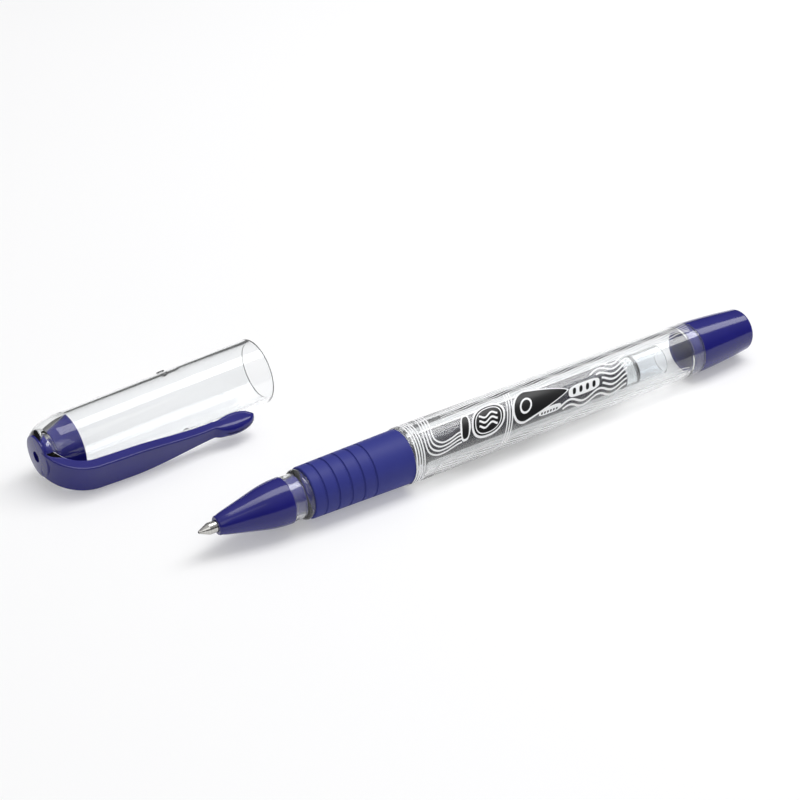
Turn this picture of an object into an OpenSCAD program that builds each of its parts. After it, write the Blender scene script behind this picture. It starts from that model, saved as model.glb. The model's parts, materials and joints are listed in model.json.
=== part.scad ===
// Stick gel pen with a rubber grip, lying on a flat surface with its cap taken off
// and laid beside it. X runs along the pen from the ball to the end plug, Z is up,
// and the origin is on the surface under the middle of the whole object.
// Stations along the pen are counted from the front of the ball, and stations
// along the cap from its closed end.

/* [Pen body] */
// Outer diameter of the clear barrel
barrel_d = 11.6; // [10:0.1:13]
// Length of the full-diameter barrel behind the grip
barrel_l = 74; // [50:0.5:90]
// Wall of the barrel behind the grip
barrel_wall = 1.5; // [1:0.1:1.8]
// Wall of the narrower barrel front that carries the grip
front_wall = 0.85; // [0.6:0.05:1]
// Outer diameter of the collar in front of the grip
collar_d = 8.8; // [8.4:0.1:9.6]
// Length of the collar, from the nose cone to the grip
collar_l = 3.9; // [3:0.1:5]
// Radius of the round bead that ends the collar
bead_r = 0.7; // [0.5:0.05:0.9]

/* [Grip] */
// Length of the rubber grip
grip_l = 22.15; // [16:0.25:28]
// Outer diameter of the grip at its front
grip_front_d = 10.3; // [10:0.1:11]
// Outer diameter of the grip at its rear
grip_rear_d = 11.1; // [10.6:0.1:11.4]
// Number of ring grooves in the front of the grip
groove_count = 5; // [0:1:6]
// Distance from one ring groove to the next
groove_pitch = 2.73; // [2:0.05:3]
// Width of a ring groove
groove_w = 0.45; // [0.3:0.05:0.8]
// Depth of a ring groove
groove_depth = 0.24; // [0.1:0.02:0.3]

/* [Nose and tip] */
// Length of metal tip in front of the nose cone
tip_out = 3.7; // [3:0.1:5]
// Diameter of the writing ball
ball_d = 0.5; // [0.5:0.1:1]
// Diameter of the metal tip's stem
stem_d = 2.26; // [2:0.02:2.6]
// Visible length of the nose cone
nose_l = 14.4; // [13.5:0.1:18]
// Diameter of the nose cone's front
nose_front_d = 3.84; // [3.7:0.02:4.4]
// Diameter of the nose cone where it meets the collar
nose_rear_d = 9.2; // [9:0.1:9.6]
// Length of the nose cone's spigot inside the barrel
nose_spigot_l = 9; // [6:0.5:12]

/* [Refill] */
// Outer diameter of the refill tube
tube_d = 6; // [5.4:0.1:6.2]
// Wall of the refill tube
tube_wall = 0.6; // [0.4:0.05:0.8]
// Length of the refill tube
tube_l = 95.2; // [60:0.2:98]
// Length of the ink column in the tube
ink_l = 79.5; // [10:0.1:84]
// Length of the grease follower behind the ink
follower_l = 3.5; // [2:0.1:5]

/* [End plug] */
// Visible length of the end plug
plug_l = 15.4; // [10:0.1:20]
// How far the end plug's side is below the barrel's where they meet
plug_step = 0.15; // [0.1:0.05:0.3]
// How much smaller the plug's diameter is at its rear end
plug_taper = 2.2; // [1:0.1:3]
// Length of the plug's spigot inside the barrel
plug_spigot_l = 2.6; // [2:0.1:5]
// Diameter of the vent hole through the plug
plug_vent_d = 1; // [0.6:0.1:1.6]

/* [Cap] */
// Overall length of the clear cap shell
cap_l = 50.5; // [50:0.1:60]
// Wall of the cap shell at its mouth, round the barrel
cap_wall = 1.1; // [0.9:0.05:1.5]
// Wall of the cap shell at the start of its dome
cap_rear_wall = 0.83; // [0.7:0.01:1.1]
// Length of the rounded dome at the closed end
dome_l = 6.2; // [5:0.1:8]
// Diameter of the flat at the tip of the dome
dome_flat_d = 7; // [6.6:0.1:8]
// Depth of the round bore inside the mouth
mouth_bore_l = 17; // [12:0.5:20]
// Clearance on the radius between the cap's bore and the barrel
cap_clearance = 0.15; // [0.1:0.05:0.4]
// Diameter of the two snap lugs inside the shell
lug_d = 2; // [1:0.1:2.4]

/* [Clip] */
// Gap between the shell and the clip at the clip's root
clip_root_gap = 1.6; // [1.2:0.1:3.6]
// Gap between the shell and the clip at the clip's neck
clip_neck_gap = 2.2; // [1.3:0.05:3]
// How far the clip bows outwards between its root and its neck
clip_bow = 0.35; // [0:0.05:1]
// Thickness of the clip at its root
clip_t = 2.4; // [2:0.1:2.8]
// Thickness of the clip at its neck
clip_neck_t = 2; // [1.4:0.1:2.4]
// Width of the clip at its root
clip_w = 6.4; // [5:0.1:6.6]
// Width of the clip at its neck
clip_neck_w = 3; // [2.4:0.1:4.4]
// Length of the lobe that ends the clip
clip_end_l = 9.2; // [7:0.1:11]
// Thickness of the lobe that ends the clip
clip_end_t = 4.6; // [3:0.1:5]
// Thickness of the cone inside the closed end
skirt_t = 0.8; // [0.6:0.05:1]
// Diameter of the round vent recess in the middle of the closed end
cap_vent_d = 2.3; // [1.6:0.1:2.6]

/* [Where the cap lies] */
// Distance of the cap's mouth behind the ball, along the pen
cap_mouth_x = 35.4; // [30:0.5:60]
// Distance of the cap's mouth from the pen's axis, across it
cap_mouth_y = 41.6; // [36:0.5:60]
// Angle between the cap's axis and the pen's, seen from above
cap_yaw = 4; // [-8:0.5:8]
// Angle of the clip below the horizontal
clip_drop = 16; // [0:0.5:16]

/* [Hidden] */
$fn = 96;

// Clearances: a sliding fit between round parts, and a hairline between faces
fit = 0.02;
seam = 0.04;
// More than any part is wide, for cuts that run past the material
past = 30;

// Stations along the pen
nose_x = tip_out;
collar_x = nose_x + nose_l;
grip_x = collar_x + collar_l;
body_x = grip_x + grip_l;
rear_x = body_x + barrel_l;
plug_x = rear_x + seam;
pen_l = plug_x + plug_l;

// Radii inside the barrel: the spigot's bore, the main bore and the plug's socket
seat_r = grip_front_d / 2 - 0.55;
front_bore_r = seat_r - front_wall;
main_bore_r = barrel_d / 2 - barrel_wall;
plug_bore_r = barrel_d / 2 - 0.9;
edge = 0.2;

// Refill stations: the holder seats against a shoulder in the nose cone, and its
// flange stops the tube
tube_bore_r = tube_d / 2 - tube_wall;
stem_r = stem_d / 2;
shoulder_x = nose_x + 4.4;
boss_r = 1.95;
boss_l = 2.8;
flange_x = shoulder_x + boss_l;
flange_r = tube_bore_r + 0.25;
flange_l = 2.9;
tube_x = flange_x + flange_l;
plugged_l = 5;
ink_x = tube_x + plugged_l;
follower_x = ink_x + ink_l;
channel_r = 0.8;

// Cap radii and the clip's stations
cap_bore_r = barrel_d / 2 + cap_clearance;
mouth_r = cap_bore_r + cap_wall;
step_z = cap_l - mouth_bore_l;
inner_bore_r = grip_rear_d / 2 + 0.12;
cap_rear_r = inner_bore_r + cap_rear_wall;
skirt_z = 2.9;
skirt_l = 4.6;
skirt_end_r = inner_bore_r - 0.2;
skirt_base_r = 3.7;
hub_r = 2.9;
disc_r = dome_flat_d / 2 + 0.8;
band_t = 2.1;
seal_z = 4.5;
seal_l = 1;
seal_r = 1.5;
vent_rho = 2.15;

// The cap rests on its mouth and its dome, so its axis rises towards the mouth
taper = (mouth_r - cap_rear_r) / (cap_l - dome_l);
cap_tilt = atan(taper);
cap_z = mouth_r / cos(cap_tilt);

// The clip's root, neck and end: distances from the cap's axis and stations
clip_root_rho = cap_rear_r + clip_root_gap + clip_t / 2;
clip_z = clip_root_rho + clip_t / 2 - 1.5;
neck_z = cap_l - 16.5;
clip_neck_rho = cap_rear_r + taper * (neck_z - dome_l) + clip_neck_gap + clip_neck_t / 2;
clip_end_z = cap_l - 12.1;
clip_end_rho = clip_neck_rho + 0.45;
clip_tip_z = clip_end_z + clip_end_l / 2;

// The pen rests on its widest piece
pen_z = max(barrel_d, grip_rear_d) / 2;

// The whole object's middle, seen from above
cap_end_x = cap_mouth_x - cap_l * cos(cap_yaw);
cap_far_y = cap_mouth_y + mouth_r * cos(cap_yaw);
mid_x = (min(0, cap_end_x) + pen_l) / 2;
mid_y = (cap_far_y - pen_z) / 2;

// From stations along the pen or the cap to where they lie
module on_pen() {
    translate([-mid_x, -mid_y, pen_z]) rotate([0, 90, 0]) children();
}

module on_cap() {
    translate([cap_mouth_x - mid_x, cap_mouth_y - mid_y, cap_z])
        rotate([0, -cap_tilt, cap_yaw])
            rotate([clip_drop - 90, 0, 0]) rotate([0, 90, 0])
                translate([0, 0, -cap_l]) children();
}

// A turned solid from [radius, station] points
module turned(points) {
    rotate_extrude() polygon(points);
}

// A plain disc or rod between two stations
module rod(r, from, to) {
    translate([0, 0, from]) cylinder(r = r, h = to - from);
}

// ---- Barrel -----------------------------------------------------------------

module barrel_outline() {
    polygon([
        [0, collar_x], [collar_d / 2 - edge, collar_x], [collar_d / 2, collar_x + edge],
        [collar_d / 2, grip_x - bead_r], [seat_r, grip_x - bead_r], [seat_r, body_x],
        [barrel_d / 2 - edge, body_x], [barrel_d / 2, body_x + edge],
        [barrel_d / 2, rear_x - edge], [barrel_d / 2 - edge, rear_x], [0, rear_x]
    ]);
    translate([collar_d / 2 + 0.55 - bead_r, grip_x - bead_r]) circle(r = bead_r);
}

module barrel_bore() {
    step_x = body_x + 2;
    socket_x = rear_x - plug_spigot_l - 0.1;
    polygon([
        [0, collar_x - 1], [front_bore_r, collar_x - 1], [front_bore_r, step_x],
        [main_bore_r, step_x + 0.8], [main_bore_r, socket_x - 0.4], [plug_bore_r, socket_x],
        [plug_bore_r, rear_x + 1], [0, rear_x + 1]
    ]);
}

module barrel() {
    color([0.93, 0.94, 0.96, 0.4]) on_pen() rotate_extrude() difference() {
        barrel_outline();
        barrel_bore();
    }
}

// ---- Grip -------------------------------------------------------------------

function grip_r(x) = (grip_front_d + (grip_rear_d - grip_front_d) * (x - grip_x) / grip_l) / 2;

module grip() {
    soft = 0.25;
    first_groove = grip_x + 2.3;
    from = grip_x + seam;
    to = body_x - seam;
    color([0.19, 0.22, 0.5]) on_pen() rotate_extrude() difference() {
        polygon([
            [seat_r + fit, from], [grip_r(from) - soft, from], [grip_r(from + soft), from + soft],
            [grip_r(to - soft), to - soft], [grip_r(to) - soft, to], [seat_r + fit, to]
        ]);
        for (i = [0:1:groove_count - 1]) {
            x = first_groove + i * groove_pitch;
            translate([grip_r(x) - groove_depth, x - groove_w / 2]) square([past, groove_w]);
        }
    }
}

// ---- Nose cone --------------------------------------------------------------

// A straight cone that eases into the collar's direction over its last stretch
nose_ease_l = 5.5;
nose_chamfer = 0.3;
nose_straight_l = nose_l - nose_ease_l - nose_chamfer;
nose_slope = (nose_rear_d - nose_front_d) / 2 / (nose_straight_l + nose_ease_l / 2);
function nose_ease(t) = [
    nose_front_d / 2 + nose_slope * (nose_straight_l + nose_ease_l * (t - t * t / 2)),
    nose_x + nose_chamfer + nose_straight_l + nose_ease_l * t
];

module nose_outline() {
    ease_steps = 8;
    spigot_r = front_bore_r - fit;
    polygon(concat(
        [[0, nose_x], [nose_front_d / 2 - 0.22, nose_x], [nose_front_d / 2, nose_x + nose_chamfer]],
        [for (i = [0:ease_steps]) nose_ease(i / ease_steps) - [0, i == ease_steps ? seam : 0]],
        [
            [spigot_r, collar_x - seam], [spigot_r, collar_x + nose_spigot_l - edge],
            [spigot_r - edge, collar_x + nose_spigot_l], [0, collar_x + nose_spigot_l]
        ]
    ));
}

module nose_bore() {
    polygon([
        [0, nose_x - 1], [stem_r + fit, nose_x - 1], [stem_r + fit, shoulder_x],
        [boss_r + seam, shoulder_x], [boss_r + seam, flange_x], [flange_r + seam, flange_x],
        [flange_r + seam, tube_x - 0.1], [tube_d / 2 + seam, tube_x - 0.1],
        [tube_d / 2 + seam, collar_x + nose_spigot_l + 1], [0, collar_x + nose_spigot_l + 1]
    ]);
}

module nose_cone() {
    color([0.15, 0.15, 0.43]) on_pen() rotate_extrude() difference() {
        nose_outline();
        nose_bore();
    }
}

// ---- Metal tip with its ball ------------------------------------------------

ball_r = ball_d / 2;
lip_x = 0.3 * ball_d;

module tip_body() {
    cone_x = 2.1;
    socket_r = ball_r + 0.015;
    throat_r = ball_r * 0.55;
    gallery_r = 0.45;
    gallery_x = 1.5;
    end_x = shoulder_x + 3.3;
    color([0.8, 0.79, 0.77]) on_pen() rotate_extrude() difference() {
        polygon([
            [0, lip_x], [ball_r + 0.05, lip_x], [stem_r, cone_x], [stem_r, end_x - edge],
            [stem_r - edge, end_x], [0, end_x]
        ]);
        translate([0, ball_r]) intersection() {
            circle(r = socket_r);
            translate([0, -socket_r - 1]) square([socket_r + 1, 2 * socket_r + 2]);
        }
        square([throat_r, gallery_x]);
        translate([0, gallery_x]) square([gallery_r, end_x]);
    }
}

module tip_ball() {
    color([0.25, 0.25, 0.27]) on_pen() translate([0, 0, ball_r]) sphere(r = ball_r);
}

module tip_holder() {
    stem_end = shoulder_x + 3.3;
    color([0.88, 0.9, 0.93]) on_pen() rotate_extrude() difference() {
        polygon([
            [0, shoulder_x + seam], [boss_r, shoulder_x + seam], [boss_r, flange_x + seam],
            [flange_r, flange_x + seam], [flange_r, tube_x - 0.12], [tube_bore_r - fit, tube_x - 0.12],
            [tube_bore_r - fit, ink_x - seam], [0, ink_x - seam]
        ]);
        square([stem_r + 0.01, stem_end + 0.05]);
        square([channel_r, ink_x + 1]);
    }
}

// ---- Refill tube, ink and follower ------------------------------------------

module refill_tube() {
    color([0.9, 0.92, 0.95, 0.5]) on_pen() difference() {
        rod(tube_d / 2, tube_x - 0.05, tube_x + tube_l);
        rod(tube_bore_r, tube_x - 1, tube_x + tube_l + 1);
    }
}

module ink_column() {
    neck_x = shoulder_x + 3.4;
    color([0.17, 0.15, 0.4]) on_pen() turned([
        [0, neck_x], [channel_r - fit, neck_x], [channel_r - fit, ink_x],
        [tube_bore_r - fit, ink_x], [tube_bore_r - fit, follower_x], [0, follower_x]
    ]);
}

module ink_follower() {
    hollow = 0.5;
    color([0.9, 0.9, 0.8, 0.6]) on_pen() turned([
        [0, follower_x + 0.02], [tube_bore_r - fit, follower_x + 0.02],
        [tube_bore_r - fit, follower_x + follower_l], [tube_bore_r / 2, follower_x + follower_l - hollow],
        [0, follower_x + follower_l - hollow]
    ]);
}

// ---- End plug ---------------------------------------------------------------

plug_edge_r = 0.9;
plug_d = barrel_d - 2 * plug_step;
function plug_r(x) = (plug_d - plug_taper * pow(max(0, x - plug_x) / plug_l, 1.5)) / 2;

module end_plug() {
    side_steps = 10;
    edge_steps = 5;
    face_dome = 0.25;
    round_x = pen_l - face_dome - plug_edge_r;
    spigot_r = plug_bore_r - fit;
    color([0.15, 0.15, 0.4]) on_pen() rotate_extrude() difference() {
        polygon(concat(
            [[0, rear_x - plug_spigot_l], [spigot_r - edge, rear_x - plug_spigot_l],
             [spigot_r, rear_x - plug_spigot_l + edge], [spigot_r, plug_x]],
            [for (i = [0:side_steps - 1]) let (x = plug_x + (round_x - plug_x) * i / side_steps) [plug_r(x), x]],
            [for (i = [0:edge_steps]) let (a = 90 * i / edge_steps)
                [plug_r(round_x) - plug_edge_r + plug_edge_r * cos(a), round_x + plug_edge_r * sin(a)]],
            [[1.4, pen_l - 0.03], [0, pen_l]]
        ));
        polygon([
            [0, rear_x - plug_spigot_l - 1], [plug_bore_r - 1.1, rear_x - plug_spigot_l - 1],
            [plug_bore_r - 1.1, plug_x], [plug_r(pen_l) - 1.6, pen_l - 3.2], [0, pen_l - 3.2]
        ]);
        translate([0, plug_x]) square([plug_vent_d / 2, plug_l + 1]);
    }
}

// ---- Cap shell --------------------------------------------------------------

// The band that carries the clip, seen from the side: two quarter ellipses about one
// centre, from the middle of the closed end round to the start of the clip
band_rho = 1;
band_proud = 0.3;
function band_point(a, t) = [
    band_rho + (clip_root_rho + clip_t / 2 - band_rho - t) * sin(a),
    clip_z - (clip_z + band_proud - t * band_t / clip_t) * cos(a)
];

module band_side(grow = 0, out = 0) {
    steps = 14;
    back = -disc_r - 1;
    polygon(concat(
        [[back, band_point(0, -out)[1]]],
        [for (i = [0:steps]) band_point(90 * i / steps, -out)],
        [for (i = [steps:-1:0]) band_point(90 * i / steps, clip_t + grow)],
        [[back, band_point(0, clip_t + grow)[1]]]
    ));
}

// The same band seen from the closed end: a strip that leaves a round disc
module band_plan(grow = 0) {
    circle(r = disc_r + grow);
    translate([0, -clip_w / 2 - grow]) square([past, clip_w + 2 * grow]);
}

module band(grow = 0, out = 0) {
    intersection() {
        rotate([90, 0, 0]) linear_extrude(past, center = true) band_side(grow, out);
        translate([0, 0, -past / 2]) linear_extrude(past * 1.5) band_plan(grow);
    }
}

module dome_and_wall() {
    dome_steps = 10;
    flat_r = dome_flat_d / 2;
    polygon(concat(
        [[0, 0]],
        [for (i = [0:dome_steps]) let (a = 90 * i / dome_steps)
            [flat_r + (cap_rear_r - flat_r) * sin(a), dome_l * (1 - cos(a))]],
        [[mouth_r, cap_l - 0.3], [mouth_r - 0.3, cap_l], [0, cap_l]]
    ));
}

module cap_hollow() {
    polygon([
        [0, skirt_z], [skirt_base_r + seam, skirt_z], [skirt_end_r + seam, skirt_z + skirt_l],
        [inner_bore_r, skirt_z + skirt_l + 0.1], [inner_bore_r, step_z - 0.3], [cap_bore_r, step_z],
        [cap_bore_r, cap_l + 1], [0, cap_l + 1]
    ]);
}

module cap_shell() {
    lug_z = cap_l - 20;
    lug_angle = 37;
    lug_in = 0.3;
    lug_out = 0.65;
    color([0.93, 0.95, 0.97, 0.35]) on_cap() {
        difference() {
            rotate_extrude() difference() {
                dome_and_wall();
                cap_hollow();
            }
            band(seam, 3);
            rod(hub_r + seam, 1, skirt_z + 1);
        }
        for (side = [0, 180]) {
            rotate([0, 0, lug_angle + side]) translate([inner_bore_r - lug_in + lug_d / 2, 0, lug_z])
                intersection() {
                    sphere(r = lug_d / 2);
                    translate([-past, -past / 2, -past / 2]) cube([past + lug_out, past, past]);
                }
        }
    }
}

// ---- Blue insert, seal and clip ---------------------------------------------

knuckle_r = clip_t / 2;

// The vent: a round recess, a passage from it to one side, and a hole past the seal
module vent() {
    vent_w = 1;
    rod(cap_vent_d / 2, -1, 1.6);
    translate([0, -vent_w / 2, 0.9]) cube([vent_rho, vent_w, 0.7]);
    translate([vent_rho, 0, 0]) rod(vent_w / 2, 0.9, seal_z + 1);
}

module cap_insert() {
    color([0.2, 0.21, 0.45]) on_cap() difference() {
        union() {
            band();
            rod(hub_r, 1, seal_z);
            turned([
                [0, skirt_z + seam], [skirt_base_r, skirt_z + seam], [skirt_end_r, skirt_z + skirt_l],
                [skirt_end_r - skirt_t, skirt_z + skirt_l], [skirt_base_r - skirt_t, seal_z], [0, seal_z]
            ]);
        }
        vent();
        translate([0, 0, clip_z - 0.4]) cylinder(r = past, h = past);
        translate([clip_root_rho, 0, clip_z]) rotate([90, 0, 0])
            cylinder(r = knuckle_r + 0.05, h = past, center = true);
    }
}

module tip_seal() {
    color([0.85, 0.85, 0.85]) on_cap() rod(seal_r, seal_z + 0.01, seal_z + seal_l);
}

// Middle and half sizes of the clip at t, from its root at 0 to its neck at 1
function clip_rho(t) = clip_root_rho + (clip_neck_rho - clip_root_rho) * t + 4 * clip_bow * t * (1 - t);
function clip_half_t(t) = (clip_t + (clip_neck_t - clip_t) * t) / 2;
function ease(t) = t * t * (3 - 2 * t);
function clip_half_w(t) = (clip_w + (clip_neck_w - clip_w) * ease(max(0, t - 0.25) / 0.75)) / 2;
function clip_station(t) = clip_z + (neck_z - clip_z) * t;

module clip_side() {
    steps = 10;
    lobe_steps = 32;
    translate([clip_root_rho, clip_z]) circle(r = knuckle_r);
    polygon(concat(
        [for (i = [0:steps]) let (t = i / steps) [clip_rho(t) + clip_half_t(t), clip_station(t)]],
        [[clip_end_rho + clip_neck_t / 2, clip_end_z], [clip_end_rho - clip_neck_t / 2, clip_end_z]],
        [for (i = [steps:-1:0]) let (t = i / steps) [clip_rho(t) - clip_half_t(t), clip_station(t)]]
    ));
    polygon([for (i = [0:lobe_steps - 1]) let (a = 360 * i / lobe_steps)
        [clip_end_rho + clip_end_t / 2 * cos(a), clip_end_z + clip_end_l / 2 * sin(a)]]);
}

// The clip seen from outside, with a rounded end
module clip_plan() {
    steps = 10;
    end_steps = 8;
    half = clip_neck_w / 2;
    side = concat(
        [[clip_w / 2, clip_z - past]],
        [for (i = [0:steps]) let (t = i / steps) [clip_half_w(t), clip_station(t)]],
        [for (i = [0:end_steps]) let (a = 64 * i / end_steps)
            [half * cos(a), clip_end_z + (clip_end_l / 2 + 0.6) * sin(a)]],
        [[half * cos(64), clip_tip_z + 1]]
    );
    polygon(concat(side, [for (i = [len(side) - 1:-1:0]) [-side[i][0], side[i][1]]]));
}

module clip_arm() {
    color([0.2, 0.21, 0.45]) on_cap() intersection() {
        rotate([90, 0, 0]) linear_extrude(past, center = true) clip_side();
        rotate([90, 0, 90]) linear_extrude(past) clip_plan();
    }
}

barrel();
grip();
nose_cone();
tip_body();
tip_ball();
tip_holder();
refill_tube();
ink_column();
ink_follower();
end_plug();
cap_shell();
cap_insert();
tip_seal();
clip_arm();
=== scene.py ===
"""A stick gel pen with a rubber grip, lying beside its clear cap on a pale floor."""
import json
import math

import bmesh
import bpy
from mathutils import Matrix, Vector


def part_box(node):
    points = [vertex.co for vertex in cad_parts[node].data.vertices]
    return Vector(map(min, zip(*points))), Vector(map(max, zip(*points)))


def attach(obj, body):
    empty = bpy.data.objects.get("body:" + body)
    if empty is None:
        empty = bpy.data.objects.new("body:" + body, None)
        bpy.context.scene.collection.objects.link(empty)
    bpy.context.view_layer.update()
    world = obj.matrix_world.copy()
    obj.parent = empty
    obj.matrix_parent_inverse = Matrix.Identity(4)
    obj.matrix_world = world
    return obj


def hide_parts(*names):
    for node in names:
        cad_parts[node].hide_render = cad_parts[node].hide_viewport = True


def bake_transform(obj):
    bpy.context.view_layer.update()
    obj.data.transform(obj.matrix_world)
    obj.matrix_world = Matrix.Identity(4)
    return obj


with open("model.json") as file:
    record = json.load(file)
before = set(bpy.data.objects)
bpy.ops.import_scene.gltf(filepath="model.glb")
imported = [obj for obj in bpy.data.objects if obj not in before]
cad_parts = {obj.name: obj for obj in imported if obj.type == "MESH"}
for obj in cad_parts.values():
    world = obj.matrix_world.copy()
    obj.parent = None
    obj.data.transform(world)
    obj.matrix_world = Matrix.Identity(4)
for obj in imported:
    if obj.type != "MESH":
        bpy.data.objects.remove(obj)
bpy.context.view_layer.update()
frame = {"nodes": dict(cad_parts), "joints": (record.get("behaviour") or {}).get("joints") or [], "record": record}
MM = 0.001
AROUND = 144  # steps round a turned piece

# ---- Where things are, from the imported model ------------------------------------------


def axes(origin, z_axis, x_axis):
    """A frame with z along a piece's axis and x the direction its angles count from."""
    z = Vector(z_axis).normalized()
    x = Vector(x_axis)
    x = (x - z * x.dot(z)).normalized()
    m = Matrix((x, z.cross(x), z)).transposed().to_4x4()
    m.translation = Vector(origin)
    return m


def extent(node, place):
    """Lowest and highest station and largest radius of a CAD node in a frame, in mm."""
    inverse = place.inverted()
    points = [(inverse @ v.co) / MM for v in frame["nodes"][node].data.vertices]
    stations = [p.z for p in points]
    return min(stations), max(stations), max(math.hypot(p.x, p.y) for p in points)


def named(rows, name):
    return next(r for r in rows if r["name"] == name)


low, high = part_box("barrel")
ball_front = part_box("tip_ball")[0].x
PEN = axes((ball_front, (low.y + high.y) / 2, (low.z + high.z) / 2), (1, 0, 0), (0, 0, 1))

bore = named(frame["record"]["mounts"], "cap_bore")
hinge = named(frame["joints"], "clip_flex")
to_clip = Vector(hinge["pos_m"]) - Vector(bore["pos_m"])
CAP = axes(bore["pos_m"], bore["axis"], to_clip)
CAP.translation = CAP @ Vector((0, 0, extent("cap_shell", CAP)[0] * MM))

COLLAR_S, REAR_S, BARREL_R = extent("barrel", PEN)
GRIP_S, GRIP_END_S, GRIP_R = extent("grip", PEN)
NOSE_S, SPIGOT_S, NOSE_R = extent("nose_cone", PEN)
PLUG_IN_S, PLUG_END_S, PLUG_R = extent("end_plug", PEN)
TUBE_S, TUBE_END_S, TUBE_R = extent("refill_tube", PEN)
INK_END_S = extent("ink_column", PEN)[1]
GREASE_S, GREASE_END_S, TUBE_BORE_R = extent("ink_follower", PEN)
HOLDER_S, HOLDER_END_S, HOLDER_R = extent("tip_holder", PEN)
STEM_END_S, STEM_R = extent("tip_body", PEN)[1:]
BALL_R = extent("tip_ball", PEN)[2]
CAP_L, MOUTH_R = extent("cap_shell", CAP)[1:]
BORE_R = bore["dims"]["r_mm"]
BORE_L = bore["dims"]["length_mm"]
SEAL_S, SEAL_END_S, SEAL_R = extent("tip_seal", CAP)
hinge_at = (CAP.inverted() @ Vector(hinge["pos_m"])) / MM
BODY_S = GRIP_END_S + 0.04  # where the barrel's full diameter starts
SKIN_R = BARREL_R - 0.03  # the barrel's own surface, just under its print

# ---- Mesh helpers ---------------------------------------------------------------------


def finish_mesh(name, bm, sharp=32):
    bmesh.ops.remove_doubles(bm, verts=bm.verts, dist=1e-8)
    bmesh.ops.recalc_face_normals(bm, faces=bm.faces)
    mesh = bpy.data.meshes.new(name)
    bm.to_mesh(mesh)
    bm.free()
    obj = bpy.data.objects.new(name, mesh)
    bpy.context.scene.collection.objects.link(obj)
    return smooth(obj, sharp)


def smooth(obj, sharp):
    mesh = obj.data
    mesh.polygons.foreach_set("use_smooth", [True] * len(mesh.polygons))
    mesh.set_sharp_from_angle(angle=math.radians(sharp))
    return obj


def softened(points, size=0.12, steps=4):
    """A closed outline of (radius, station) points with its corners rounded."""
    out = []
    count = len(points)
    for i, point in enumerate(points):
        p = Vector(point)
        before, after = Vector(points[i - 1]) - p, Vector(points[(i + 1) % count]) - p
        turn = math.pi - before.angle(after, math.pi)
        if p.x < 1e-6 or turn < math.radians(8):
            out.append(tuple(p))
            continue
        reach = min(size, before.length * 0.45, after.length * 0.45)
        start, end = p + before.normalized() * reach, p + after.normalized() * reach
        for k in range(steps + 1):
            t = k / steps
            out.append(tuple(start * (1 - t) ** 2 + p * 2 * t * (1 - t) + end * t * t))
    return out


def lathe(name, place, outline, around=AROUND, sharp=32):
    """A closed outline of (radius, station) points in mm turned round a frame's z axis."""
    bm = bmesh.new()
    rings = []
    for r, s in outline:
        steps = 1 if r < 1e-6 else around
        turns = [2 * math.pi * k / around for k in range(steps)]
        rings.append([
            bm.verts.new(place @ (Vector((r * math.cos(a), r * math.sin(a), s)) * MM))
            for a in turns
        ])
    for one, two in zip(rings, rings[1:] + rings[:1]):
        if len(one) == 1 and len(two) == 1:
            continue
        for k in range(around):
            j = k + 1
            loop = [one[k % len(one)], two[k % len(two)], two[j % len(two)], one[j % len(one)]]
            bm.faces.new(list(dict.fromkeys(loop)))
    return finish_mesh(name, bm, sharp)


def dress(obj, material, body, slot, *nodes):
    """Its finish, the body it rides on and the nodes it stands for. slot is not used."""
    obj.data.materials.clear()
    obj.data.materials.append(material)
    if body:
        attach(obj, body)
    if nodes:
        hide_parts(*nodes)
    return obj


def cut(obj, tool, operation="DIFFERENCE"):
    """Cuts a tool mesh out of obj, or joins it on, and removes the tool."""
    step = obj.modifiers.new("cut", "BOOLEAN")
    step.operation, step.object, step.solver = operation, tool, "EXACT"
    graph = bpy.context.evaluated_depsgraph_get()
    mesh = bpy.data.meshes.new_from_object(obj.evaluated_get(graph))
    obj.modifiers.clear()
    obj.data = mesh
    bpy.data.objects.remove(tool)
    return obj


# ---- Materials ------------------------------------------------------------------------


def new_material(name):
    mat = bpy.data.materials.new(name)
    mat.use_nodes = True
    return mat, mat.node_tree, mat.node_tree.nodes["Principled BSDF"]


def link(tree, a, out, b, into):
    tree.links.new(a.outputs[out], b.inputs[into])


def noise(tree, scale, detail=3.0, stretch=None):
    coord = tree.nodes.new("ShaderNodeTexCoord")
    node = tree.nodes.new("ShaderNodeTexNoise")
    node.inputs["Scale"].default_value = scale
    node.inputs["Detail"].default_value = detail
    if stretch is None:
        link(tree, coord, "Object", node, "Vector")
    else:
        mapping = tree.nodes.new("ShaderNodeMapping")
        mapping.inputs["Scale"].default_value = stretch
        link(tree, coord, "Object", mapping, "Vector")
        link(tree, mapping, "Vector", node, "Vector")
    return node


def ramp(tree, source, stops):
    """A colour ramp over a noise's value: (position, colour) pairs."""
    node = tree.nodes.new("ShaderNodeValToRGB")
    elements = node.color_ramp.elements
    while len(elements) < len(stops):
        elements.new(0.5)
    for element, (at, colour) in zip(elements, stops):
        element.position = at
        element.color = (*colour, 1)
    link(tree, source, "Fac", node, "Fac")
    return node


def vary_roughness(tree, shader, source, least, most):
    spread = tree.nodes.new("ShaderNodeMapRange")
    spread.inputs["To Min"].default_value = least
    spread.inputs["To Max"].default_value = most
    link(tree, source, "Fac", spread, "Value")
    link(tree, spread, "Result", shader, "Roughness")


def bump(tree, shader, source, height, strength):
    node = tree.nodes.new("ShaderNodeBump")
    node.inputs["Strength"].default_value = strength
    node.inputs["Distance"].default_value = height
    link(tree, source, "Fac", node, "Height")
    link(tree, node, "Normal", shader, "Normal")


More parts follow.
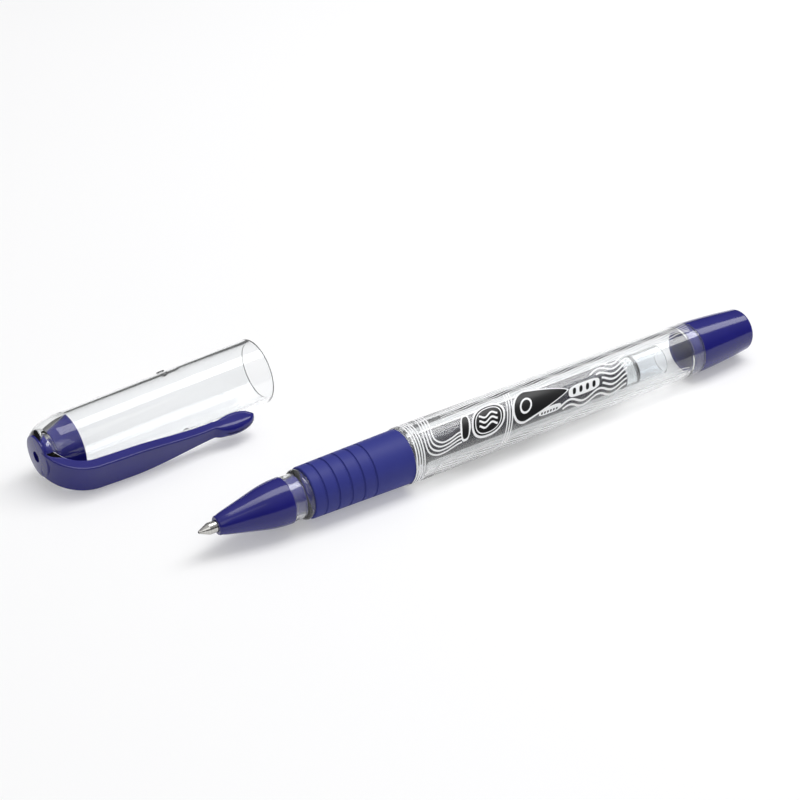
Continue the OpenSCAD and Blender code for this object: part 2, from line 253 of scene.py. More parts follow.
def clear_plastic(name, tint, least, most, ior, light=0.9, clear=1.0):
    """Clear or slightly milky plastic that lets lamps through to what lies under it."""
    mat, tree, shader = new_material(name)
    flow = noise(tree, 260, 2.0, (0.35, 1, 1))
    colour = ramp(tree, flow, [(0.3, tint), (0.75, tuple(min(1, c * 1.02) for c in tint))])
    link(tree, colour, "Color", shader, "Base Color")
    vary_roughness(tree, shader, noise(tree, 900, 3.0), least, most)
    shader.inputs["Transmission Weight"].default_value = clear
    shader.inputs["IOR"].default_value = ior
    path = tree.nodes.new("ShaderNodeLightPath")
    through = tree.nodes.new("ShaderNodeBsdfTransparent")
    through.inputs["Color"].default_value = (light, light, light, 1)
    either = tree.nodes.new("ShaderNodeMixShader")
    out = tree.nodes["Material Output"]
    link(tree, path, "Is Shadow Ray", either, 0)
    tree.links.new(shader.outputs["BSDF"], either.inputs[1])
    tree.links.new(through.outputs["BSDF"], either.inputs[2])
    link(tree, either, "Shader", out, "Surface")
    return mat


def moulded(name, dark, light, least, most, grain=1400, relief=0.000004, shine=0.3):
    """Opaque moulded plastic or rubber with fine grain and a little colour drift."""
    mat, tree, shader = new_material(name)
    colour = ramp(tree, noise(tree, 120, 4.0), [(0.25, dark), (0.75, light)])
    link(tree, colour, "Color", shader, "Base Color")
    vary_roughness(tree, shader, noise(tree, 700, 4.0), least, most)
    bump(tree, shader, noise(tree, grain, 2.0), relief, 0.35)
    shader.inputs["IOR"].default_value = 1.5
    shader.inputs["Specular IOR Level"].default_value = shine
    return mat


def metal(name, dark, light, least, most):
    """Turned metal with fine marks round it."""
    mat, tree, shader = new_material(name)
    marks = noise(tree, 900, 4.0, (9, 1, 1))
    link(tree, ramp(tree, marks, [(0.3, dark), (0.7, light)]), "Color", shader, "Base Color")
    vary_roughness(tree, shader, marks, least, most)
    bump(tree, shader, marks, 0.000003, 0.4)
    shader.inputs["Metallic"].default_value = 1
    return mat


CLEAR = clear_plastic("clear_plastic", (0.952, 0.96, 0.965), 0.0, 0.03, 1.5)
BARREL_CLEAR = clear_plastic("barrel_plastic", (0.965, 0.975, 0.98), 0.0, 0.03, 1.5, clear=0.97)
TUBE_CLEAR = clear_plastic("refill_plastic", (0.9, 0.92, 0.94), 0.05, 0.12, 1.49, 0.8)
GREASE = clear_plastic("follower_grease", (0.97, 0.97, 0.94), 0.02, 0.06, 1.47, 0.9)
BLUE = moulded("blue_plastic", (0.010, 0.0095, 0.15), (0.013, 0.012, 0.18), 0.1, 0.18, shine=0.45)
RUBBER = moulded("grip_rubber", (0.03, 0.036, 0.215), (0.036, 0.043, 0.245), 0.42, 0.55,
                 grain=2600, relief=0.00001, shine=0.2)
INK = moulded("gel_ink", (0.006, 0.004, 0.018), (0.012, 0.009, 0.03), 0.05, 0.12)
SEAL = moulded("seal_rubber", (0.5, 0.5, 0.52), (0.6, 0.6, 0.62), 0.5, 0.6)
WHITE = moulded("print_white", (0.86, 0.87, 0.88), (0.92, 0.92, 0.93), 0.3, 0.4)
BLACK = moulded("print_black", (0.006, 0.006, 0.007), (0.011, 0.011, 0.012), 0.3, 0.4)
HOLDER = moulded("holder_plastic", (0.6, 0.62, 0.66), (0.68, 0.7, 0.73), 0.25, 0.35)
STEEL = metal("tip_metal", (0.45, 0.44, 0.42), (0.66, 0.65, 0.62), 0.1, 0.22)
CARBIDE = metal("ball_metal", (0.07, 0.07, 0.08), (0.14, 0.14, 0.15), 0.08, 0.2)

# ---- Pen: turned pieces ---------------------------------------------------------------

SEAT_R = 4.6  # the barrel front's outer radius, under the grip
FRONT_BORE_R = 3.75
MAIN_BORE_R = 4.3
PLUG_BORE_R = 4.9
COLLAR_R = 4.4
BEAD_R = 0.7


def arc(r, s, radius, start, end, steps=14):
    """Points of an arc about (r, s), its angles in degrees from outwards to rearwards."""
    turns = [math.radians(start + (end - start) * k / steps) for k in range(steps + 1)]
    return [(r + radius * math.cos(a), s + radius * math.sin(a)) for a in turns]


def barrel():
    bead_s = GRIP_S - 0.04 - BEAD_R
    bead_mid = COLLAR_R + 0.55 - BEAD_R
    seat_turn = math.degrees(math.acos((SEAT_R - bead_mid) / BEAD_R))
    rise = math.degrees(math.asin((COLLAR_R - 0.12 - bead_mid) / BEAD_R))
    front = softened([
        (FRONT_BORE_R, COLLAR_S), (COLLAR_R, COLLAR_S), (COLLAR_R, bead_s - BEAD_R - 0.25),
        (COLLAR_R - 0.12, bead_s - BEAD_R - 0.05),
    ], 0.14)[:-1]
    bead = arc(bead_mid, bead_s, BEAD_R, rise - 90, seat_turn, 20)
    rest = softened([
        (SEAT_R, bead_s + 0.7), (SEAT_R, BODY_S), (SKIN_R, BODY_S), (SKIN_R, REAR_S),
        (PLUG_BORE_R, REAR_S), (PLUG_BORE_R, PLUG_IN_S - 0.1), (MAIN_BORE_R, PLUG_IN_S - 0.5),
        (MAIN_BORE_R, BODY_S + 2.8), (FRONT_BORE_R, BODY_S + 2), (FRONT_BORE_R, COLLAR_S + 0.5),
    ], 0.16)
    obj = lathe("barrel_clear", PEN, front + bead + rest)
    return dress(obj, BARREL_CLEAR, "barrel", "clear_plastic", "barrel")


def grip_radius(s):
    return GRIP_R - 0.4 * (GRIP_END_S - s) / (GRIP_END_S - GRIP_S)


def grip():
    first, pitch, depth, reach = GRIP_S + 2.26, 2.73, 0.24, 0.24
    stations = {GRIP_S + 0.35, GRIP_END_S - 0.3}
    for i in range(5):
        stations |= {first + i * pitch + reach * k / 8 for k in range(-8, 9)}
        for out in (0.03, 0.1):
            stations |= {first + i * pitch - reach - out, first + i * pitch + reach + out}
    stations |= {first + 4 * pitch + 1 + k for k in range(9)}
    side = []
    for s in sorted(stations):
        nearest = min(abs(s - first - i * pitch) for i in range(5))
        dip = depth * math.cos(min(1, nearest / reach) * math.pi / 2) ** 0.6
        side.append((grip_radius(s) - dip, s))
    front_r, rear_r = grip_radius(GRIP_S), grip_radius(GRIP_END_S)
    outline = [(SEAT_R + 0.02, GRIP_S)]
    outline += arc(front_r - 0.35, GRIP_S + 0.35, 0.35, -90, 0, 6)
    outline += side[1:-1]
    outline += arc(rear_r - 0.3, GRIP_END_S - 0.3, 0.3, 0, 90, 6)
    outline += [(SEAT_R + 0.02, GRIP_END_S)]
    obj = lathe("grip_rubber", PEN, outline, sharp=70)
    return dress(obj, RUBBER, "barrel", "grip_rubber", "grip")


def nose_cone():
    front_r, chamfer, ease_l = 1.92, 0.3, 5.5
    rear = COLLAR_S - 0.04
    straight = rear - NOSE_S - chamfer - ease_l
    slope = (NOSE_R - front_r) / (straight + ease_l / 2)
    side = []
    for k in range(25):
        t = k / 24
        r = front_r + slope * (straight + ease_l * (t - t * t / 2))
        side.append((r, NOSE_S + chamfer + straight + ease_l * t))
    shoulder = HOLDER_S - 0.04
    outline = softened([(STEM_R + 0.02, NOSE_S), (front_r - 0.2, NOSE_S),
                        (front_r, NOSE_S + chamfer)], 0.1)
    outline += [(front_r + slope * straight * k / 8, NOSE_S + chamfer + straight * k / 8)
                for k in range(1, 8)]
    outline += side[:-1] + arc(NOSE_R - 0.12, rear - 0.12, 0.12, 0, 90, 4)
    outline += softened([
        (FRONT_BORE_R - 0.02, rear), (FRONT_BORE_R - 0.02, SPIGOT_S),
        (TUBE_R + 0.04, SPIGOT_S), (TUBE_R + 0.04, TUBE_S - 0.05),
        (HOLDER_R + 0.04, TUBE_S - 0.05), (HOLDER_R + 0.04, shoulder + 2.8),
        (1.99, shoulder + 2.8), (1.99, shoulder), (STEM_R + 0.02, shoulder),
    ], 0.12)
    obj = lathe("nose_cone", PEN, outline)
    return dress(obj, BLUE, "front", "blue_plastic", "nose_cone")


def metal_tip():
    outline = softened([
        (0, 0.3), (0.2, 0.3), (0.26, 0.14), (0.32, 0.16), (0.36, 0.34), (STEM_R, 2.1),
        (STEM_R, STEM_END_S), (0, STEM_END_S),
    ], 0.12)
    obj = lathe("tip_cone", PEN, outline, around=96)
    return dress(obj, STEEL, "front", "tip_metal", "tip_body")


def tip_ball():
    points = [(0, 0)] + arc(0, BALL_R, BALL_R, -80, 80, 16) + [(0, 2 * BALL_R)]
    obj = lathe("tip_ball_fine", PEN, points, around=48, sharp=60)
    return dress(obj, CARBIDE, "ball", "ball_metal", "tip_ball")


def tip_holder():
    outline = softened([
        (0.8, HOLDER_S), (1.95, HOLDER_S), (1.95, HOLDER_S + 2.8), (HOLDER_R, HOLDER_S + 2.8),
        (HOLDER_R, TUBE_S - 0.07), (TUBE_BORE_R, TUBE_S - 0.07),
        (TUBE_BORE_R, HOLDER_END_S), (0.8, HOLDER_END_S),
    ], 0.12)
    obj = lathe("tip_holder_fine", PEN, outline, around=96)
    return dress(obj, HOLDER, "front", "refill_plastic", "tip_holder")


def refill():
    bore_r = TUBE_BORE_R + 0.02
    tube = lathe("refill_tube_fine", PEN, softened([
        (bore_r, TUBE_S), (TUBE_R, TUBE_S), (TUBE_R, TUBE_END_S), (bore_r, TUBE_END_S),
    ], 0.08))
    dress(tube, TUBE_CLEAR, "front", "refill_plastic", "refill_tube")
    # Ink and grease wet the tube's wall, so both reach just into it.
    wet_r = bore_r + 0.01
    ink = lathe("ink_fine", PEN, [
        (0, HOLDER_END_S), (wet_r, HOLDER_END_S + 0.02), (wet_r, INK_END_S), (0, INK_END_S),
    ])
    dress(ink, INK, "front", "gel_ink", "ink_column")
    hollow = [(wet_r * k / 8, GREASE_END_S - 0.5 * (1 - (k / 8) ** 2)) for k in range(8, -1, -1)]
    grease = lathe("grease_fine", PEN, [(0, GREASE_S), (wet_r, GREASE_S)] + hollow)
    return dress(grease, GREASE, "front", "follower_grease", "ink_follower")


def end_plug():
    start, taper, edge = REAR_S + 0.04, 2.2, 0.9
    length = PLUG_END_S - start
    turn_s = PLUG_END_S - 0.25 - edge

    def radius(s):
        return PLUG_R - taper / 2 * (max(0, s - start) / length) ** 1.5

    spigot_r, inner_r, vent_r = PLUG_BORE_R - 0.02, PLUG_BORE_R - 1.1, 0.5
    side = [(radius(s), s) for s in (start + (turn_s - start) * k / 24 for k in range(1, 24))]
    end_r = radius(turn_s) - edge
    crown = [(end_r * (1 - k / 8) + vent_r * k / 8,
              PLUG_END_S - 0.25 + 0.25 * (1 - (1 - k / 8) ** 2)) for k in range(1, 9)]
    outline = softened([(inner_r, PLUG_IN_S), (spigot_r, PLUG_IN_S), (spigot_r, start)], 0.2)
    outline += arc(PLUG_R - 0.15, start + 0.15, 0.15, -90, 0, 5) + side
    outline += arc(end_r, turn_s, edge, 0, 90, 14) + crown
    floor = PLUG_END_S - 3.2
    outline += [(vent_r, floor), (radius(floor) - 1.6, floor), (inner_r, start)]
    obj = lathe("end_plug_fine", PEN, outline)
    return dress(obj, BLUE, "plug", "blue_plastic", "end_plug")


# ---- Pen: print on the barrel ---------------------------------------------------------

# Points on the barrel are (station, way round it in mm from a line on its upper side).
FACE = math.radians(52.8)
LEAN = 0.45
# Lines that cross lie at heights of their own, so that no two faces share a place.
FINE_R, RING_R, FLOW_R, WAVE_R = (SKIN_R + h for h in (0.006, 0.008, 0.01, 0.012))
WHITE_R, BLACK_R, TOP_R = SKIN_R + 0.015, SKIN_R + 0.021, SKIN_R + 0.027


def on_barrel(s, way, r):
    """A printed point. The print's rings lean a little, as if cut by a slanting plane."""
    turn = way / BARREL_R
    a = FACE + turn
    s -= LEAN * BARREL_R * math.sin(turn)
    return PEN @ (Vector((r * math.cos(a), r * math.sin(a), s)) * MM)


def flowing(points, steps=8):
    """A smooth curve through points."""
    pts = [Vector(p) for p in points]
    pts = [2 * pts[0] - pts[1]] + pts + [2 * pts[-1] - pts[-2]]
    out = []
    for a, b, c, d in zip(pts, pts[1:], pts[2:], pts[3:]):
        for k in range(steps):
            t = k / steps
            out.append(0.5 * (2 * b + (c - a) * t + (2 * a - 5 * b + 4 * c - d) * t * t
                              + (3 * b - a - 3 * c + d) * t ** 3))
    return out + [pts[-2]]


def ribbon(bm, path, width, top, thick=0.02):
    """A thin printed line along a path of (station, way round) points."""
    rows = []
    for i, p in enumerate(path):
        along = path[min(i + 1, len(path) - 1)] - path[max(i - 1, 0)]
        side = Vector((-along.y, along.x)).normalized() * width / 2
        left, right = p + side, p - side
        rows.append([bm.verts.new(on_barrel(*q, r)) for q, r in (
            (left, top), (right, top), (right, top - thick), (left, top - thick))])
    for a, b in zip(rows, rows[1:]):
        for k in range(4):
            bm.faces.new((a[k], a[(k + 1) % 4], b[(k + 1) % 4], b[k]))
    bm.faces.new(rows[0])
    bm.faces.new(rows[-1][::-1])


def patch(bm, middle, outline, top, grow=0.0, thick=0.02, rings=8):
    """A thin printed shape, from its outline about a middle point."""
    def row(share, r):
        points = [Vector(p) + Vector(p).normalized() * grow for p in outline]
        return [bm.verts.new(on_barrel(*(p * share + Vector(middle)), r)) for p in points]

    count, rims = len(outline), []
    for r in (top, top - thick):
        rows = [row(k / rings, r) for k in range(1, rings + 1)]
        centre = bm.verts.new(on_barrel(*middle, r))
        rims.append(rows[-1])
        for k in range(count):
            j = (k + 1) % count
            bm.faces.new((centre, rows[0][k], rows[0][j]))
            for a, b in zip(rows, rows[1:]):
                bm.faces.new((a[k], b[k], b[j], a[j]))
    for k in range(count):
        j = (k + 1) % count
        bm.faces.new((rims[0][k], rims[1][k], rims[1][j], rims[0][j]))


def oval(half_l, half_w, power=2.0, lean=0.0, steps=64):
    """An oval or rounded bar, leaning along the barrel."""
    out = []
    for k in range(steps):
        a = 2 * math.pi * k / steps
        c, d = math.cos(a), math.sin(a)
        p = math.copysign(abs(c) ** (2 / power), c) * half_l
        q = math.copysign(abs(d) ** (2 / power), d) * half_w
        out.append((p + lean * q, q))
    return out


def drop(radius, tail, steps=36):
    """A drop lying along the barrel, its point to the rear."""
    turns = (math.pi * (0.5 + k / steps) for k in range(steps + 1))
    out = [(radius * math.cos(a), radius * math.sin(a)) for a in turns]
    side = [(tail * k / steps, radius * (1 - k / steps) ** 0.75) for k in range(1, steps)]
    return out + [(x, -y) for x, y in side] + [(tail, 0)] + side[::-1]


def printed(name, draw, material, slot):
    bm = bmesh.new()
    draw(bm)
    obj = finish_mesh(name, bm, 40)
    return dress(obj, material, "barrel", slot)


# Middles of the printed shapes: an upright bar, an oval, a drop and a row of small bars
BAR, EMBLEM, MARK, ROW = (56.1, -1.1), (61.6, -0.95), (70.8, -0.95), (85.6, -0.25)
EMBLEM_SHAPE = 3.6, 2.7, 2.3  # half length, half width, squareness
WAVE_START_S, WAVE_END_S = 88.0, 97.0
WAVE_L, WAVE_H, WAVE_PITCH = 7.6, 0.55, 1.0


def wave(s, way):
    turn = 2 * math.pi * (s - WAVE_START_S) / WAVE_L + 0.3
    return Vector((s, way - WAVE_H * math.sin(turn)))


def flow_lines(bm):
    """Lines that come round the barrel by the grip and sweep into waves along it."""
    half_turn = math.pi * BARREL_R
    for k in range(4):
        near = [(55.4, 0.65 * k - 0.6), (54.2, 0.66 * k - 0.5), (52.6 - 0.35 * k, 0.7 * k - 0.02),
                (50.7 - 0.45 * k, 0.62 * k + 0.1), (49 - 0.55 * k, 0.5 * k - 0.8),
                (48.3 - 0.65 * k, -2.1), (48.1 - 0.65 * k, -4.5)]
        low = half_turn + 2.2 - 0.98 * k
        far = [(48.2 - 0.65 * k, -8), (49 - 0.65 * k, -12), (50.4 - 0.65 * k, 0.5 - low),
               (53 - 0.65 * k, -low)]
        tail = [wave(55.5 - 0.65 * k + 1.1 * i, -low) for i in range(38)]
        ribbon(bm, flowing(near + far + tail, 10), 0.3, FLOW_R)


def ring_lines(bm):
    """Four lines right round the barrel next to the grip, and three between the marks."""
    for k in range(4):
        s = BODY_S + 0.35 + 0.58 * k
        path = []
        for i in range(97):
            turn = 2 * math.pi * (i / 96 - 0.5)
            path.append(Vector((s + 0.31 * BARREL_R * math.sin(turn), turn * BARREL_R)))
        ribbon(bm, path, 0.3, RING_R)
    for k in range(3):
        path = [Vector((66.25 + 0.62 * k, 0.25 * i - 5)) for i in range(41)]
        ribbon(bm, path, 0.3, RING_R)


def end_waves(bm):
    """Waves over the last of the ink."""
    starts = (87.6, 87.2, 88.8, 90.2, 90.4, 79.6, 80.4)
    for k, start in enumerate(starts):
        way = WAVE_PITCH * (k - 3.4)
        count = int(4 * (WAVE_END_S - start))
        path = [wave(start + (WAVE_END_S - start) * i / count, way) for i in range(count + 1)]
        ribbon(bm, path, 0.4, WAVE_R)


def fine_lines(bm):
    """Fine waving lines along the upper and lower sides."""
    for side in (-1, 1):
        for k in range(8):
            path = []
            for i in range(181):
                s = BODY_S + 7 + 64 * i / 180
                way = side * (3.9 + 0.55 * k) + 0.22 * math.sin(s / 1.3 + 0.9 * k)
                path.append(Vector((s, way)))
            ribbon(bm, path, 0.14, FINE_R)


def shapes():
    """The black shapes: middle, outline and rings of faces."""
    rows = [(BAR, oval(0.8, 2.1, 3.0), 8), (EMBLEM, oval(*EMBLEM_SHAPE), 8),
            (MARK, drop(2.85, 10.4), 8)]
    for k in range(4):
        rows.append(((ROW[0] + 1.7 * (k - 1.5), ROW[1]), oval(0.42, 0.62, 2.6), 3))
    for k in range(6):
        rows.append(((75 + 0.75 * k, 1.75), oval(0.2, 0.22, 2.6), 3))
    return rows


def white_grounds(bm):
    for middle, outline, rings in shapes()[:3]:
        patch(bm, middle, outline, WHITE_R, 0.45, rings=rings)
    patch(bm, ROW, oval(4.0, 1.15, 3.4), WHITE_R)
    patch(bm, (77, 1.55), oval(2.8, 0.7, 3.4), WHITE_R)


def black_marks(bm):
    for middle, outline, rings in shapes():
        patch(bm, middle, outline, BLACK_R, rings=rings)


def white_marks(bm):
    rim = [Vector(p) * 0.86 + Vector(EMBLEM) for p in oval(*EMBLEM_SHAPE)]
    ribbon(bm, rim + rim[:2], 0.2, TOP_R)
    for k in range(3):
        path = [Vector((EMBLEM[0] + x, EMBLEM[1] + 0.95 * (k - 1) - 0.32 * math.sin(x * 2)))
                for x in (-2.2 + 4.4 * i / 40 for i in range(41))]
        ribbon(bm, path, 0.36, TOP_R)
    ring = [Vector(p) + Vector(MARK) for p in oval(1.3, 1.3)]
    ribbon(bm, ring + ring[:2], 0.4, TOP_R)


# ---- Cap --------------------------------------------------------------------------

DOME_L, FLAT_R, REAR_R = 6.2, 3.5, 6.5
SKIN = 0.008  # keeps the fine shell inside the coarser CAD one
INNER_R, SKIRT_S, SKIRT_L, SKIRT_BASE_R, HUB_R = 5.67, 2.9, 4.6, 3.7, 2.9
CLIP_T, CLIP_W, NECK_T, NECK_W, BOW = 2.4, 6.4, 2.0, 3.0, 0.35
DISC_R, PROUD, BAND_T = FLAT_R + 0.8, 0.3, 2.1
RECESS_R, VENT_R, VENT_OUT = 1.15, 0.5, 2.15
LUG_ANGLES, LUG_BACK = (37, 217), 20  # the lugs' ways round the cap, and how far from its mouth
ROOT_RHO, ROOT_S = hinge_at.x, hinge_at.z
NECK_S, END_S = CAP_L - 16.5, CAP_L - 12.1
END_HALF_L, END_HALF_T = 4.6, 2.3


def shell_radius(s):
    return REAR_R + (MOUTH_R - REAR_R) * (s - DOME_L) / (CAP_L - DOME_L)


NECK_RHO = shell_radius(NECK_S) + 2.2 + NECK_T / 2
END_RHO = NECK_RHO + 0.45


def section(place, middle, across, half_t, half_w, corner=0.28):
    """A closed rectangle with round corners. across is the bar's thickness direction."""
    c = min(corner, 0.9 * half_t, 0.9 * half_w)
    ring = []
    for quarter in range(4):
        start = math.pi / 2 * quarter
        side, out = (1, -1, -1, 1)[quarter], (1, 1, -1, -1)[quarter]
        for a, past in [(start, -0.3)] + [(start + math.pi * k / 8, 0) for k in range(5)] + \
                [(start + math.pi / 2, 0.3)]:
            w = side * (half_w - c) + c * (math.cos(a) - past * math.sin(a))
            t = out * (half_t - c) + c * (math.sin(a) + past * math.cos(a))
            ring.append(place @ ((Vector(middle) + Vector(across) * t + Vector((0, w, 0))) * MM))
    return ring


def band_rows(grow=0.0, rise=0.0):
    """The blue band from the end disc round to the clip: middle, across, half sizes."""
    rows = []
    for k in range(29):
        a = math.radians(6 + 84 * k / 28)
        outer = Vector((1 + (ROOT_RHO + CLIP_T / 2 - 1) * math.sin(a), 0,
                        ROOT_S - (ROOT_S + PROUD) * math.cos(a)))
        inner = Vector((1 + (ROOT_RHO - CLIP_T / 2 - 1) * math.sin(a), 0,
                        ROOT_S - (ROOT_S + PROUD - BAND_T) * math.cos(a)))
        across = (outer - inner).normalized()
        middle = (outer + inner) / 2 + across * rise / 2
        half_t = (outer - inner).length / 2 + grow + rise / 2
        rows.append((middle, across, half_t, CLIP_W / 2 + grow))
    return rows


def soft_max(a, b, reach=0.6):
    share = max(0, reach - abs(a - b)) / reach
    return max(a, b) + share * share * reach / 4


def clip_rows(steps=110):
    """The clip from its root to the rounder lobe that ends it."""
    rows = []
    for k in range(1, steps + 1):
        s = ROOT_S + (END_S + END_HALF_L * 0.9995 - ROOT_S) * (1 - (1 - k / steps) ** 1.4)
        t = min(1, (s - ROOT_S) / (NECK_S - ROOT_S))
        rho = ROOT_RHO + (NECK_RHO - ROOT_RHO) * t + 4 * BOW * t * (1 - t)
        rho += (END_RHO - NECK_RHO) * max(0, min(1, (s - NECK_S) / (END_S - NECK_S)))
        half = (CLIP_T + (NECK_T - CLIP_T) * t) / 2
        out, into = rho + half, rho - half
        lobe = END_HALF_T * math.sqrt(max(0, 1 - ((s - END_S) / END_HALF_L) ** 2))
        if s > END_S:
            out, into = END_RHO + lobe, END_RHO - lobe
        elif lobe:
            out, into = soft_max(out, END_RHO + lobe), -soft_max(-into, lobe - END_RHO)
        late = max(0, t - 0.25) / 0.75
        wide = (CLIP_W + (NECK_W - CLIP_W) * late * late * (3 - 2 * late)) / 2
        wide *= math.sqrt(1 - (max(0, s - END_S) / (END_HALF_L + 0.6)) ** 2)
        swell = max(0, min(1, (out - into) / 2 - NECK_T / 2)) if s > NECK_S - 2 else 0
        corner = 0.28 + 1.1 * max(swell, min(1, max(0, s - END_S) / 2))
        rows.append((((out + into) / 2, 0, s), (1, 0, 0), (out - into) / 2, wide, corner))
    return rows


def swept(name, rows):
    bm = bmesh.new()
    rings = [[bm.verts.new(p) for p in section(CAP, *row)] for row in rows]
    count = len(rings[0])
    for a, b in zip(rings, rings[1:]):
        for k in range(count):
            j = (k + 1) % count
            bm.faces.new((a[k], a[j], b[j], b[k]))
    bm.faces.new(rings[0])
    bm.faces.new(rings[-1][::-1])
    return finish_mesh(name, bm, 40)


def end_disc(name, grow=0.0, rise=0.0):
    """The round disc that closes the end, its face a little domed."""
    r, edge = DISC_R + grow, 0.2
    top = -PROUD - rise
    face = [((r - edge) * k / 10, top + 0.22 * (k / 10) ** 2) for k in range(11)]
    rim = arc(r - edge, face[-1][1] + edge, edge, -90, 0, 5)
    return lathe(name, CAP, face + rim[1:] + [(r, 1.8 + grow), (0, 1.8 + grow)])


def clip():
    """The disc, the band and the clip as one moulding. On the real pen the clip flexes past the band; this mesh is
    fixed and rides on no body.
    """
    obj = cut(swept("clip_and_band", band_rows() + clip_rows()), end_disc("disc"), "UNION")
    floor_edge = arc(RECESS_R - 0.2, 1.1, 0.2, 0, 90, 5)
    outline = [(0, -2), (RECESS_R, -2)] + floor_edge + [(0, 1.3)]
    recess = lathe("recess", CAP, outline, around=64)
    smooth(cut(obj, recess), 40)
    dress(obj, BLUE, None, "blue_plastic", "clip_arm")
    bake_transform(obj)


def cap_cone():
    """The blue cone and hub inside the closed end, with the vent through it."""
    end_r = INNER_R - 0.2
    outline = softened([
        (0, 1.85), (HUB_R, 1.85), (HUB_R, SKIRT_S + 0.04), (SKIRT_BASE_R, SKIRT_S + 0.04),
        (end_r, SKIRT_S + SKIRT_L), (end_r - 0.8, SKIRT_S + SKIRT_L),
        (SKIRT_BASE_R - 0.8, SEAL_S), (0, SEAL_S),
    ], 0.2)
    vent = lathe("vent", CAP @ Matrix.Translation((VENT_OUT * MM, 0, 0)),
                 [(0, 1), (VENT_R, 1), (VENT_R, SEAL_S + 1), (0, SEAL_S + 1)], around=32)
    obj = cut(lathe("cap_cone", CAP, outline), vent)
    dress(smooth(obj, 32), BLUE, "cap", "blue_plastic", "cap_insert")


def cap_seal():
    obj = lathe("tip_seal_fine", CAP, softened([
        (0, SEAL_S), (SEAL_R, SEAL_S), (SEAL_R, SEAL_END_S), (0, SEAL_END_S)], 0.2))
    dress(obj, SEAL, "cap", "seal_rubber", "tip_seal")


def lug_tool(angle):
    """A round lug that stands out of the wall on its inside."""
    turn = Matrix.Rotation(math.radians(angle), 4, "Z")
    outwards = Matrix.Rotation(math.pi / 2, 4, "Y")
    middle = Vector((INNER_R + 0.7, 0, CAP_L - LUG_BACK)) * MM
    place = CAP @ turn @ Matrix.Translation(middle) @ outwards
    points = [(0, -1)] + arc(0, 0, 1, -80, 38, 12) + [(0, math.sin(math.radians(38)))]
    return lathe("lug_tool", place, points, around=32, sharp=60)


def cap_shell():
    step_s = CAP_L - BORE_L
    dome = [(FLAT_R + (REAR_R - FLAT_R) * math.sin(math.radians(a)) - SKIN,
             DOME_L * (1 - math.cos(math.radians(a)))) for a in range(0, 91, 5)]
    side = [(REAR_R + (MOUTH_R - REAR_R) * k / 20 - SKIN, DOME_L + (CAP_L - 0.3 - DOME_L) * k / 20)
            for k in range(1, 20)]
    mouth = arc(MOUTH_R - 0.3 - SKIN, CAP_L - 0.3, 0.3, 0, 90, 6)
    mouth += arc(BORE_R + 0.25, CAP_L - 0.25, 0.25, 90, 180, 6)
    hollow = [(BORE_R, step_s + 0.4), (INNER_R, step_s - 0.4)]
    hollow += [(INNER_R, SKIRT_S + SKIRT_L + 0.3), (INNER_R - 0.16, SKIRT_S + SKIRT_L - 0.1),
               (SKIRT_BASE_R + 0.04, SKIRT_S), (HUB_R + 0.04, SKIRT_S), (HUB_R + 0.04, 1.7),
               (0, 1.7)]
    obj = lathe("cap_shell_clear", CAP, [(0, 0)] + dome + side + mouth + hollow)
    for angle in LUG_ANGLES:
        cut(obj, lug_tool(angle), "UNION")
    cut(obj, swept("slot_tool", band_rows(0.04, 3)))
    cut(obj, end_disc("disc_tool", 0.04, 2))
    dress(smooth(obj, 32), CLEAR, "cap", "clear_plastic", "cap_shell")


# ---- Floor, light and camera --------------------------------------------------------

KEY_LIGHT, FILL_LIGHT, SKY_LIGHT = 9.0, 2.0, 0.86
SKY_LEVELS = (0.0, 0.1), (0.3, 0.16), (0.6, 0.42), (1.0, 0.85)  # height and brightness
FLOOR_TONE, FLOOR_GLOW, FLOOR_HALF = 0.63, 0.3, 4
CAMERA_FROM, CAMERA_AIM = (-99.487, -214.920, 182.251), (55.254, 17.072, 5.8)
CAMERA_ANGLE = 27.79


def plain(name, colour, rough, glow):
    """A matt surface that glows a little, like a light table."""
    mat, tree, shader = new_material(name)
    tone = ramp(tree, noise(tree, 6, 2.0), [(0.3, colour), (0.7, tuple(c * 1.01 for c in colour))])
    link(tree, tone, "Color", shader, "Base Color")
    shader.inputs["Roughness"].default_value = rough
    shader.inputs["Specular IOR Level"].default_value = 0.2
    shader.inputs["Emission Color"].default_value = (1, 1, 1, 1)
    shader.inputs["Emission Strength"].default_value = glow
    return mat


def floor():
    bm = bmesh.new()
    signs = (-1, -1), (1, -1), (1, 1), (-1, 1)
    bm.faces.new([bm.verts.new((x * FLOOR_HALF, y * FLOOR_HALF, 0)) for x, y in signs])
    obj = finish_mesh("floor", bm)
    obj.data.materials.append(plain("floor_white", (FLOOR_TONE,) * 3, 0.7, FLOOR_GLOW))


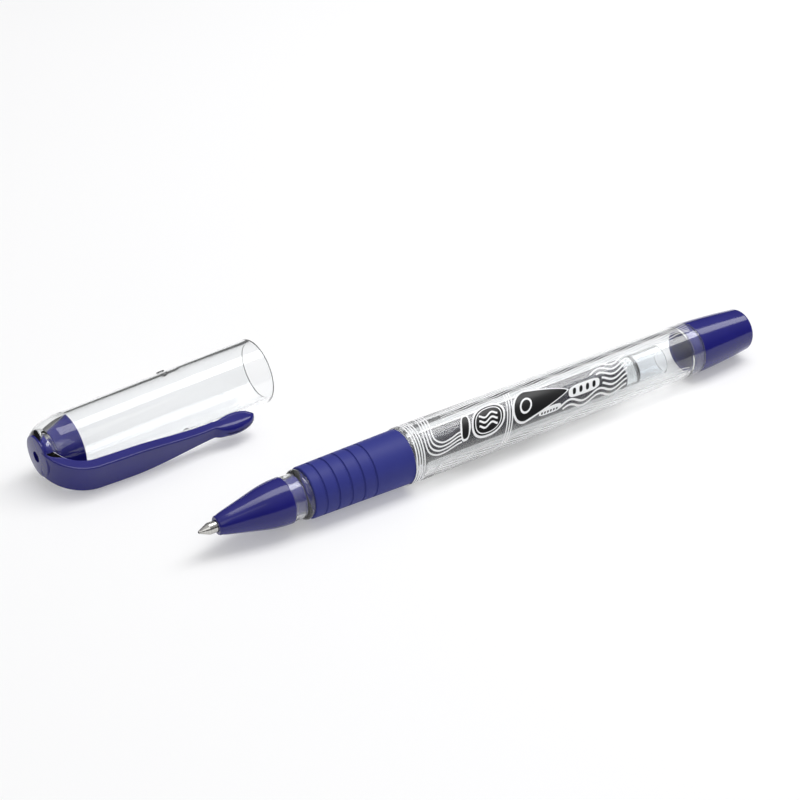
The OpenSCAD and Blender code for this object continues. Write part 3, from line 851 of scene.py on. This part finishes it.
def lamp(name, place, turn, size, power):
    """A soft box. turn is its rotation in degrees from facing straight down."""
    data = bpy.data.lights.new(name, "AREA")
    data.shape, data.size, data.size_y = "RECTANGLE", *size
    data.energy = power
    obj = bpy.data.objects.new(name, data)
    obj.location = place
    obj.rotation_euler = [math.radians(a) for a in turn]
    bpy.context.scene.collection.objects.link(obj)


def sky():
    """Dark round the horizon and bright overhead, like a small studio's ceiling."""
    world = bpy.data.worlds.new("studio")
    bpy.context.scene.world = world
    world.use_nodes = True
    tree = world.node_tree
    coord, parts = tree.nodes.new("ShaderNodeTexCoord"), tree.nodes.new("ShaderNodeSeparateXYZ")
    tone = tree.nodes.new("ShaderNodeValToRGB")
    stops = tone.color_ramp.elements
    for at, level in SKY_LEVELS:
        # A new ramp already has a stop at each end.
        stop = {0.0: stops[0], 1.0: stops[-1]}.get(at) or stops.new(at)
        stop.position, stop.color = at, (level, level, level * 1.02, 1)
    link(tree, coord, "Generated", parts, "Vector")
    link(tree, parts, "Z", tone, "Fac")
    link(tree, tone, "Color", tree.nodes["Background"], "Color")
    tree.nodes["Background"].inputs["Strength"].default_value = SKY_LIGHT


def lights():
    lamp("key", (0.6, 0.0, 0.85), (0, 0, 0), (1.4, 0.45), KEY_LIGHT)
    lamp("fill", (-0.6, -0.9, 0.9), (45, 0, -30), (0.8, 0.8), FILL_LIGHT)
    sky()


def camera():
    data = bpy.data.cameras.new("camera")
    data.angle = math.radians(CAMERA_ANGLE)
    data.clip_start, data.clip_end = 0.02, 30
    obj = bpy.data.objects.new("camera", data)
    pen = Vector((PEN.translation.x, PEN.translation.y, 0))
    place, aim = pen + Vector(CAMERA_FROM) * MM, pen + Vector(CAMERA_AIM) * MM
    obj.location = place
    obj.rotation_euler = (aim - place).to_track_quat("-Z", "Y").to_euler()
    bpy.context.scene.collection.objects.link(obj)
    bpy.context.scene.camera = obj
    bpy.context.scene.view_settings.view_transform = "Standard"


barrel()
grip()
nose_cone()
metal_tip()
tip_ball()
tip_holder()
refill()
end_plug()
for draw in (flow_lines, ring_lines, end_waves, fine_lines, white_grounds, white_marks):
    printed("print_" + draw.__name__, draw, WHITE, "print_white")
printed("print_black_marks", black_marks, BLACK, "print_black")
cap_shell()
cap_cone()
cap_seal()
clip()
floor()
lights()
camera()
